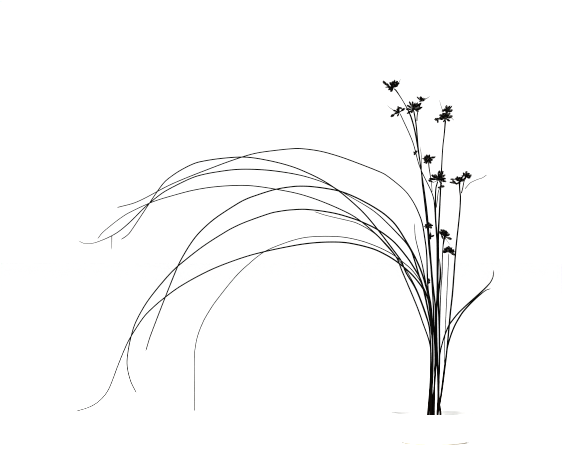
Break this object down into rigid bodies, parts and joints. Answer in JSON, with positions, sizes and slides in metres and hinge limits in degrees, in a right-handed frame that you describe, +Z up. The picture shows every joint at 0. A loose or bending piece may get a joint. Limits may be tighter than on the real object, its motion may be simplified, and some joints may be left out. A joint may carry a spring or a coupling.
{
  "type": "potted sedge",
  "caption": "Clump of dark sedge with long arching leaves and upright flowering stems, in a low white glazed bowl.",
  "frame": {"origin": "centre of the bowl's underside", "axes": "+Z up, the long leaves arch towards -X, +Y away from the side that the picture shows"},
  "size_m": [0.6288, 0.208, 0.5476],
  "materials": {
    "glaze": "satin",
    "soil": "rough",
    "leaf": "satin",
    "stem": "satin",
    "flower": "matte"
  },
  "bodies": {
    "root": {"bowl": "glaze", "soil": "soil", "leaf_long_1": "leaf", "leaf_long_2": "leaf", "leaf_long_3": "leaf", "leaf_long_4": "leaf", "leaf_long_5": "leaf", "leaf_long_6": "leaf", "leaf_long_7": "leaf", "leaf_long_8": "leaf", "leaf_long_9": "leaf", "leaf_short": "leaf", "leaf_right_1": "leaf", "leaf_right_2": "leaf", "leaf_middle": "leaf", "stem_1": "stem", "stem_2": "stem", "stem_3": "stem", "stem_4": "stem", "stem_5": "stem", "stem_6": "stem", "stem_7": "stem", "stem_8": "stem", "stalk_1": "stem", "stalk_2": "stem", "stalk_3": "stem", "stalk_4": "stem", "bract_1": "leaf", "flower_head_1": "flower", "flower_head_2": "flower", "flower_head_3": "flower", "flower_head_4": "flower", "flower_head_5": "flower", "flower_head_6": "flower", "flower_head_7": "flower", "flower_head_8": "flower", "flower_head_9": "flower", "flower_head_10": "flower", "flower_head_11": "flower", "flower_head_12": "flower", "flower_head_13": "flower", "flower_head_14": "flower", "flower_head_15": "flower", "flower_bud": "flower"}
  },
  "joints": []
}
